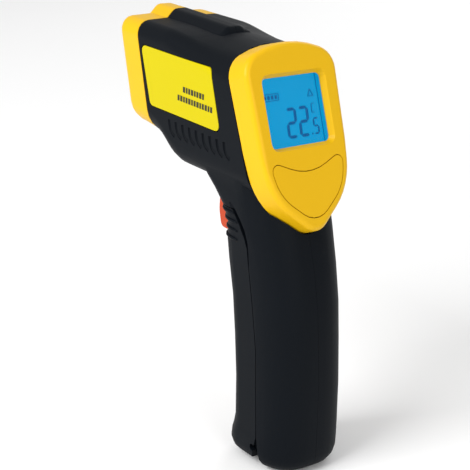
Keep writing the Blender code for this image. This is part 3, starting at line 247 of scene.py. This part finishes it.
def bent_bars(name, count, pitch, points, radius):
    """Geometry Nodes: the same bent round bar, repeated at an even pitch along Y."""
    tree = bpy.data.node_groups.new(name, "GeometryNodeTree")
    sockets = {}
    for label, kind, value in (
        ("Count", "NodeSocketInt", count),
        ("Pitch", "NodeSocketFloat", pitch),
        ("Radius", "NodeSocketFloat", radius),
        ("Top", "NodeSocketVector", points[0]),
        ("Bend", "NodeSocketVector", points[1]),
        ("End", "NodeSocketVector", points[2]),
    ):
        socket = tree.interface.new_socket(label, in_out="INPUT", socket_type=kind)
        sockets[socket.identifier] = value
    tree.interface.new_socket("Geometry", in_out="OUTPUT", socket_type="NodeSocketGeometry")
    given = add_node(tree, "NodeGroupInput")
    bent = add_node(
        tree, "GeometryNodeCurveQuadraticBezier", Resolution=6, Start=given.outputs["Top"],
        Middle=given.outputs["Bend"], End=given.outputs["End"],
    )
    round_profile = add_node(
        tree, "GeometryNodeCurvePrimitiveCircle", Radius=given.outputs["Radius"], Resolution=12
    )
    bar = add_node(
        tree, "GeometryNodeCurveToMesh", Curve=bent.outputs["Curve"],
        Profile_Curve=round_profile.outputs["Curve"], Fill_Caps=True,
    )
    steps = add_node(tree, "ShaderNodeCombineXYZ", Y=given.outputs["Pitch"])
    row = add_node(
        tree, "GeometryNodeMeshLine", Count=given.outputs["Count"], Offset=steps.outputs["Vector"]
    )
    copies = add_node(
        tree, "GeometryNodeInstanceOnPoints", Points=row.outputs["Mesh"],
        Instance=bar.outputs["Mesh"],
    )
    real = add_node(tree, "GeometryNodeRealizeInstances", Geometry=copies.outputs["Instances"])
    coat = add_node(
        tree, "GeometryNodeSetMaterial", Geometry=real.outputs["Geometry"], Material=black_abs
    )
    last = add_node(tree, "NodeGroupOutput")
    tree.links.new(coat.outputs["Geometry"], last.inputs["Geometry"])
    mesh = bpy.data.meshes.new(name)
    holder = bpy.data.objects.new(name, mesh)
    scene.collection.objects.link(holder)
    modifier = holder.modifiers.new(name, "NODES")
    modifier.node_group = tree
    for identifier, value in sockets.items():
        modifier[identifier] = value
    return apply_modifiers(holder)


def tube(name, points, radii, sides=12, material=None):
    """Closed round tube through points, with its own radius at each."""
    rings = []
    for i, centre in enumerate(points):
        ahead = points[min(i + 1, len(points) - 1)] - points[max(i - 1, 0)]
        across = ahead.cross(Vector((1, 0, 0))).normalized()
        outward = across.cross(ahead).normalized()
        rings.append([
            centre + (across * math.cos(2 * math.pi * k / sides)
                      + outward * math.sin(2 * math.pi * k / sides)) * radii[i]
            for k in range(sides)
        ])
    corners = [corner for ring in rings for corner in ring]
    faces = [list(range(sides)), [len(corners) - 1 - k for k in range(sides)]]
    for i in range(len(rings) - 1):
        for k in range(sides):
            n = (k + 1) % sides
            faces.append([i * sides + k, i * sides + n, (i + 1) * sides + n, (i + 1) * sides + k])
    mesh = bpy.data.meshes.new(name)
    mesh.from_pydata(corners, [], faces)
    work = bmesh.new()
    work.from_mesh(mesh)
    bmesh.ops.recalc_face_normals(work, faces=work.faces)
    work.to_mesh(mesh)
    work.free()
    mesh.shade_smooth()
    if material:
        mesh.materials.append(material)
    item = bpy.data.objects.new(name, mesh)
    scene.collection.objects.link(item)
    return item


# ABS moulded in a spark-eroded tool: near black, satin, with a fine even grain. The real
# grain is about 0.05 mm and is drawn at 0.25 mm, so that it shows.
black_abs = plastic("abs_moulded_black", "#0c1015", 0.5, 0.06, 0.25, 0.35)

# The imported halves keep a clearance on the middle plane. Here the corners on it, which are
# those nearer than seam_reach, move in and leave a fine line.
seam_reach = 0.15 * MM
seam_line = 0.08 * MM

# The nine grooves: how far apart, where the foremost starts, and how each one bends.
chevron_count = 9
chevron_pitch = 4.1 * MM
chevron_front_y = 16.2 * MM
chevron_top_z, chevron_bend_z, chevron_end_z = 115.4 * MM, 112.0 * MM, 110.1 * MM
chevron_radius = 0.75 * MM
chevron_proud = 0.1 * MM   # middle of the cutting bar outside the flank
outside = 50 * MM          # start of a ray that looks for a flank from outside
handle_half_width = 16.5 * MM
# Down the scoop, along the door's edge: Y, height, width of the scoop.
scoop_line = [
    (-19.5, 94.6, 0.5), (-21.5, 92.6, 1.0), (-24.2, 89.4, 1.5), (-26.6, 85.8, 1.7),
    (-28.2, 82.0, 1.5), (-29.2, 78.0, 1.1), (-30.0, 73.0, 0.7), (-30.8, 68.0, 0.35),
]

scoop_set_back = 0.9       # the flank is found this far behind the line, clear of the edge
scoop_proud = 0.35         # share of its width that the scoop's cutter stands outside

for side, node in ((-1, "left_shell"), (1, "right_shell")):
    shell = moulding(node)
    for corner in shell.data.vertices:
        if abs(corner.co.x) < seam_reach:
            corner.co.x = side * seam_line / 2
    flank = surface(shell)

    def flank_x(y, z):
        hit = flank.ray_cast(Vector((side * outside, y, z)), Vector((-side, 0, 0)))[0]
        return hit.x if hit else side * handle_half_width

    rear_y = chevron_front_y - chevron_pitch * (chevron_count - 1)
    middle_y = (chevron_front_y + rear_y) / 2
    proud = side * chevron_proud
    chevron = [
        (flank_x(middle_y, chevron_top_z) + proud, rear_y, chevron_top_z),
        (flank_x(middle_y, chevron_bend_z) + proud, rear_y - 0.2 * MM, chevron_bend_z - 1.0 * MM),
        (flank_x(middle_y, chevron_end_z) + proud, rear_y - 3.6 * MM, chevron_end_z),
    ]
    carve(shell, bent_bars("chevrons", chevron_count, chevron_pitch, chevron, chevron_radius))
    path, widths = [], []
    for y, z, width in scoop_line:
        x = flank_x((y - scoop_set_back) * MM, z * MM)
        path.append(Vector((x + side * width * scoop_proud * MM, y * MM, z * MM)))
        widths.append(width * MM)
    carve(shell, tube("scoop", path, widths))
    shell.data.shade_smooth()
    shell.data.set_sharp_from_angle(angle=math.radians(32))
    fit(settle(shell), node, "housing", black_abs)

# ---- yellow nose and rear bezel ---------------------------------------------------------
# Two rigid ABS mouldings that close the ends of the housing, each held by a rim inside the
# shells. The plastic is a warm deep yellow with a soft gloss, smoother than the black.
yellow_abs = plastic("abs_moulded_yellow", "#deae0c", 0.38, 0.17, 0.3, 0.18, mottle=0.02)

for node in ("nose_bezel", "rear_bezel"):
    fit(settle(moulding(node, 30.0)), node, "housing", yellow_abs)

# ---- key --------------------------------------------------------------------------------
# The shield-shaped key under the display: the same yellow ABS, with a softened top edge. It
# lies flush in the bezel and is pressed into it.
fit(settle(moulding("key_cap", 30.0)), "key_cap", "key", yellow_abs)

# ---- display ----------------------------------------------------------------------------
# Clear acrylic window, glued behind the bezel's opening; under it the liquid crystal cell, lit
# blue from behind, with dark blue segments: two digits, a point and a small digit, and plain
# signs without words.
panel_tilt = math.radians(20.2)
panel_middle = Vector((0, -31.7, 127.8)) * MM
panel_up = Vector((0, math.sin(panel_tilt), math.cos(panel_tilt)))
panel_out = Vector((0, -math.cos(panel_tilt), math.sin(panel_tilt)))
segment_depth = 3.78       # face of the liquid crystal cell below the bezel's face

# Clear acrylic: all but invisible, apart from a thin sharp gloss over the display.
window_sheet = bpy.data.materials.new("acrylic_clear_sheet")
window_sheet.use_nodes = True
window_shader = window_sheet.node_tree.nodes["Principled BSDF"]
window_shader.inputs["Base Color"].default_value = linear("#0b2a3a")
window_shader.inputs["Roughness"].default_value = 0.06
window_shader.inputs["Alpha"].default_value = 0.08
window_shader.inputs["IOR"].default_value = 1.49
window_sheet.surface_render_method = "BLENDED"


def lit(name, colour, glow):
    """A layer of the display lit from behind, a little uneven in brightness."""
    material, tree, shader, place = new_material(name)
    base = linear(colour)
    cloud = add_node(tree, "ShaderNodeTexNoise", Vector=place, Scale=45.0, Detail=1.0)
    tint = add_node(
        tree, "ShaderNodeMix", {"data_type": "RGBA"}, Factor=cloud.outputs["Fac"],
        _6=shade(base, 0.93), _7=shade(base, 1.05),
    )
    tree.links.new(tint.outputs[2], shader.inputs["Emission Color"])
    shader.inputs["Base Color"].default_value = shade(base, 0.2)
    shader.inputs["Emission Strength"].default_value = glow
    shader.inputs["Roughness"].default_value = 0.2
    shader.inputs["Specular IOR Level"].default_value = 0.2
    return material


# Lit cell: an even bright blue. Segments: the same light, blocked to a deep blue.
cell_blue = lit("liquid_crystal_cell_lit", "#069cd6", 0.95)
segment_blue = lit("liquid_crystal_segment", "#0a64a6", 0.75)
for node, material in (("display_glass", cell_blue), ("display_window", window_sheet)):
    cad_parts[node].data.materials.clear()
    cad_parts[node].data.materials.append(material)


def plates(name, origin, right, up, outlines, thickness, material):
    """Thin closed plates on a plane, each from its flat outline in millimetres."""
    outward = right.cross(up).normalized()
    corners, faces = [], []
    for outline in outlines:
        first, count = len(corners), len(outline)
        for lift in (0.0, thickness):
            for x, y in outline:
                corners.append(origin + (right * x + up * y + outward * lift) * MM)
        faces.append([first + k for k in reversed(range(count))])
        faces.append([first + count + k for k in range(count)])
        for k in range(count):
            n = (k + 1) % count
            faces.append([first + k, first + n, first + count + n, first + count + k])
    mesh = bpy.data.meshes.new(name)
    mesh.from_pydata(corners, [], faces)
    mesh.materials.append(material)
    item = bpy.data.objects.new(name, mesh)
    scene.collection.objects.link(item)
    return item


def bar(x0, y0, x1, y1, half):
    """Segment between two points, with pointed ends."""
    along = Vector((x1 - x0, y1 - y0))
    length = along.length
    along /= length
    aside = Vector((-along.y, along.x))
    start, end = Vector((x0, y0)), Vector((x1, y1))
    points = [
        start, start + along * half - aside * half, end - along * half - aside * half,
        end, end - along * half + aside * half, start + along * half + aside * half,
    ]
    return [(p.x, p.y) for p in points]


def digit(lit_segments, x, y, width, height, half, lean):
    """Seven-segment digit with its lower left corner at x, y."""
    gap = 0.12

    def at(u, v):
        return (x + u * width + v * height * lean, y + v * height)

    ends = {
        "a": ((0, 1), (1, 1)), "g": ((0, 0.5), (1, 0.5)), "d": ((0, 0), (1, 0)),
        "f": ((0, 1), (0, 0.5)), "b": ((1, 1), (1, 0.5)),
        "e": ((0, 0.5), (0, 0)), "c": ((1, 0.5), (1, 0)),
    }
    shapes = []
    for segment in lit_segments:
        (u0, v0), (u1, v1) = ends[segment]
        first, last = Vector(at(u0, v0)), Vector(at(u1, v1))
        step = (last - first).normalized() * gap
        first, last = first + step, last - step
        shapes.append(bar(first.x, first.y, last.x, last.y, half))
    return shapes


def outline(left, low, right, high):
    """Corners of an upright rectangle."""
    return [(left, low), (right, low), (right, high), (left, high)]


# The reading: two digits and a small one on one baseline, with a point between them.
baseline, digit_lean = -8.7, 0.05
segments = []
for left in (-3.0, 2.3):
    segments += digit("abged", left, baseline, 3.5, 9.4, 0.55, digit_lean)
segments += digit("afgcd", 8.2, baseline, 1.9, 5.2, 0.32, digit_lean)
segments.append(outline(7.0, -8.9, 7.5, -8.3))

# The small signs over it, in thin strokes: a bracket for the unit, and a triangle.
thin_stroke = 0.16
for x0, y0, x1, y1 in (
    (8.5, 1.6, 9.8, 1.6), (8.3, -1.4, 9.6, -1.4), (8.3, -1.4, 8.5, 1.6),
    (7.6, 4.2, 10.0, 4.2), (7.6, 4.2, 8.8, 6.6), (8.8, 6.6, 10.0, 4.2),
):
    segments.append(bar(x0, y0, x1, y1, thin_stroke))

# The badge at the upper left: a frame round four blocks.
badge_low, badge_high, badge_left, badge_right = 4.3, 6.6, -12.0, -4.9
frame_stroke, block_inset, block_pitch, block_width = 0.13, 0.5, 1.55, 1.0
for x0, y0, x1, y1 in (
    (badge_left, badge_low, badge_right, badge_low),
    (badge_left, badge_high, badge_right, badge_high),
    (badge_left, badge_low, badge_left, badge_high),
    (badge_right, badge_low, badge_right, badge_high),
):
    segments.append(bar(x0, y0, x1, y1, frame_stroke))
for k in range(4):
    left = badge_left + 0.8 + block_pitch * k
    segments.append(
        outline(left, badge_low + block_inset, left + block_width, badge_high - block_inset)
    )
cell_face = panel_middle - panel_out * segment_depth * MM
# The dark blue strip along the cell's right edge is painted shade. It is drawn as the cell's edge
# and stands for the right wall of the window's opening, which is seen in shade and reflects blue.
wall_shade_strip = outline(11.9, -12.2, 12.15, 12.2)
for name, outlines, thickness in (
    ("display_segments", segments, 0.12), ("display_painted_wall_shade", [wall_shade_strip], 0.1),
):
    piece = plates(
        name, cell_face, Vector((1, 0, 0)), panel_up, outlines, thickness, segment_blue
    )
    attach(piece, "housing")

# ---- labels -----------------------------------------------------------------------------
# Printed polycarbonate film in a shallow recess in each flank: plain bright yellow, with two
# rows of dark bars where a maker would print words.
# Polycarbonate film: a colder, lemon yellow, smooth, beside the warm mouldings. The ink is
# a flat brownish black.
label_film = plastic("polycarbonate_film_yellow", "#c2b300", 0.3, 0.07, 0.6, 0.05, mottle=0.01)
label_ink = plastic("screen_ink_black", "#2c2a12", 0.5, 0.3, 0.3, 0.05)


def ink_rows(origin, right, up, name):
    """Two rows of bars of uneven width: how low each row is, where it starts, how many."""
    height, space, thickness = 2.0, 0.5, 0.05
    shapes = []
    for low, start, count in ((-1.3, 2.4, 8), (-4.8, -0.8, 13)):
        x = start
        for k in range(count):
            width = 0.95 + 0.35 * ((k * 7 + count) % 3) / 2
            shapes.append(outline(x, low, x + width, low + height))
            x += width + space
    return plates(name, origin, right, up, shapes, thickness, label_ink)


for side, node in ((-1, "label_left"), (1, "label_right")):
    film = settle(moulding(node, 40.0))
    fit(film, node, "housing", label_film)
    low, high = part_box(node)
    skin = surface(film)
    middle_y, middle_z = (low.y + high.y) / 2, (low.z + high.z) / 2

    def film_point(y, z):
        return skin.ray_cast(Vector((side * outside, y, z)), Vector((-side, 0, 0)))[0]

    centre = film_point(middle_y, middle_z)
    towards_rear = (film_point(middle_y - 8 * MM, middle_z) - centre).normalized()
    upwards = (film_point(middle_y, middle_z + 6 * MM) - centre).normalized()
    reading = towards_rear if side < 0 else -towards_rear
    origin = centre + Vector((side * 0.03 * MM, 0, 0))
    ink = ink_rows(origin, reading, upwards, node + "_print")
    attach(ink, "housing")

# ---- trigger ----------------------------------------------------------------------------
# Solid orange ABS lever, hung on a steel pin, with its front hollowed for the finger. The plastic
# is an even red-orange with a dull gloss. Its colour is set somewhat darker than the plastic's
# own, as painted shade for a trigger that lies partly in shade.
shaded_orange_abs = plastic("abs_moulded_orange_painted_shade", "#b5401c", 0.42, 0.2, 0.3, 0.2, mottle=0.03)
fit(settle(moulding("trigger", 30.0)), "trigger", "trigger", shaded_orange_abs)

# ---- metals -----------------------------------------------------------------------------
# Zinc-plated steel for the screws, pins, spring and sensor can, and turned brass for the
# laser's barrel. Turning and rolling leave faint rings and streaks.


def metal(name, colour, roughness, streak_mm):
    """Bare or plated metal: darker streaks, in which its gloss varies too."""
    material, tree, shader, place = new_material(name)
    base = linear(colour)
    streaks = add_node(
        tree, "ShaderNodeTexNoise", Vector=place, Scale=1000.0 / streak_mm, Detail=2.0
    )
    tint = add_node(
        tree, "ShaderNodeMix", {"data_type": "RGBA"}, Factor=streaks.outputs["Fac"],
        _6=shade(base, 0.88), _7=base,
    )
    tree.links.new(tint.outputs[2], shader.inputs["Base Color"])
    rough = add_node(
        tree, "ShaderNodeMapRange", Value=streaks.outputs["Fac"],
        To_Min=roughness - 0.08, To_Max=roughness + 0.08,
    )
    tree.links.new(rough.outputs["Result"], shader.inputs["Roughness"])
    shader.inputs["Metallic"].default_value = 1.0
    return material


# Zinc plate is pale and slightly blue; brass is warm and brighter.
zinc_steel = metal("steel_zinc_plated", "#b9bcc0", 0.32, 0.6)
brass = metal("brass_turned", "#d3ab5e", 0.28, 0.5)

# ---- trigger spring ---------------------------------------------------------------------
# Steel wire spring between the rib in the left shell and the trigger.
spring = settle(moulding("trigger_spring", 50.0))
fit(spring, "trigger_spring", "housing", zinc_steel)
low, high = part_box("trigger_spring")
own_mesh(spring)

# ---- battery door -----------------------------------------------------------------------
# The whole front of the handle, moulded in the same black ABS and hinged at the base. Four
# round ribs cross each ear beside the trigger, to push it open by.
door = settle(moulding("battery_door"))
fit(door, "battery_door", "battery_door", black_abs)
door_skin = surface(door)
rib_heights = (91.2, 88.3, 85.2, 82.0)
rib_radius = 0.62 * MM
rib_stride = 2.0 * MM      # a farther step has left the ear, and isn't part of the rib
rib_steps, rib_start, rib_sweep = 14, 18, 84
for side, word in ((-1, "left"), (1, "right")):
    for number, height in enumerate(rib_heights, 1):
        middle = Vector((side * 9.0, -22.0, height)) * MM
        points = []
        for k in range(rib_steps + 1):
            angle = math.radians(rib_start + rib_sweep * k / rib_steps)
            far = middle + Vector((side * math.sin(angle), math.cos(angle), 0)) * 30 * MM
            hit, facing = door_skin.ray_cast(far, (middle - far).normalized())[:2]
            near = not points or hit and (hit - points[-1]).length < rib_stride
            if hit and near and (hit.x - middle.x) * side > 0 and facing.x * side > -0.2:
                points.append(hit)
        if len(points) < 4:
            continue
        # Each rib thins out over its last few points at either end.
        last = len(points) - 1
        radii = [
            rib_radius * min(1.0, 0.35 + 0.3 * min(k, last - k)) for k in range(last + 1)
        ]
        rib = tube(f"door_rib_{word}_{number}", points, radii, 10, black_abs)
        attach(rib, "battery_door")

# ---- the rest of the housing ------------------------------------------------------------
# Lens tube and saddle in black ABS, the cloudy infrared lens, boards in green glass epoxy,
# switches and chips in black epoxy, the rubber strip and snap, the battery and its leads.
# Solder mask over glass epoxy: glossy mottled green. Epoxy: dull black. Nylon: plain grey.
board_green = plastic("glass_epoxy_green_mask", "#1d5b33", 0.4, 0.5, 0.8, 0.2, mottle=0.12)
epoxy_black = plastic("epoxy_moulded_black", "#1c1c1f", 0.45, 0.4, 0.4, 0.2)
nylon_grey = plastic("nylon_moulded_grey", "#b6b5b0", 0.5, 0.4, 0.4, 0.2)
# White ABS carries the display; rubber is a matt soft black; silicone is smooth and waxy.
white_abs = plastic("abs_moulded_white", "#dcdcd6", 0.5, 0.4, 0.4, 0.2)
rubber = plastic("rubber_moulded_black", "#1b1b1b", 0.8, 0.2, 0.5, 0.4)
silicone_red = plastic("silicone_insulation_red", "#a3171a", 0.5, 0.4, 0.5, 0.1)
silicone_black = plastic("silicone_insulation_black", "#171717", 0.5, 0.4, 0.5, 0.1)
# The battery's printed steel jacket is dark grey, the light guide glows blue behind the
# cell, and the infrared lens is a cloudy, pale polymer.
jacket = metal("steel_jacket_printed", "#43454b", 0.35, 0.8)
light_guide = lit("acrylic_light_guide_blue", "#1187d0", 0.5)
lens_polymer = plastic("infrared_polymer_cloudy", "#b9b8ae", 0.25, 0.5, 1.0, 0.05)

finishes = {
    "lens_tube": black_abs, "lens_ring": black_abs, "laser_saddle": black_abs,
    "infrared_lens": lens_polymer, "laser_window": window_sheet, "laser_barrel": brass,
    "display_holder": white_abs, "backlight": light_guide, "contact_strip": rubber,
    "main_board": board_green, "sensor_board": board_green, "trigger_board": board_green,
    "laser_board": board_green, "key_switch": epoxy_black, "trigger_switch": epoxy_black,
    "processor": epoxy_black, "buzzer": epoxy_black, "key_switch_plunger": nylon_grey,
    "trigger_switch_plunger": nylon_grey, "battery": jacket, "battery_snap": rubber,
    "lead_red": silicone_red, "lead_black": silicone_black, "infrared_sensor": zinc_steel,
    "trigger_pin": zinc_steel, "battery_door_pin": zinc_steel,
}
for node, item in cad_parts.items():
    if "screw" in node:
        finishes[node] = zinc_steel
for node, material in finishes.items():
    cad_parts[node].data.materials.clear()
    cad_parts[node].data.materials.append(material)

# The round optics show in the nose, so they are shaded smooth.
for node, slot in (
    ("lens_tube", "black_abs"), ("lens_ring", "black_abs"), ("infrared_lens", "lens_polymer"),
):
    fit(settle(moulding(node, 30.0)), node, "housing", finishes[node])
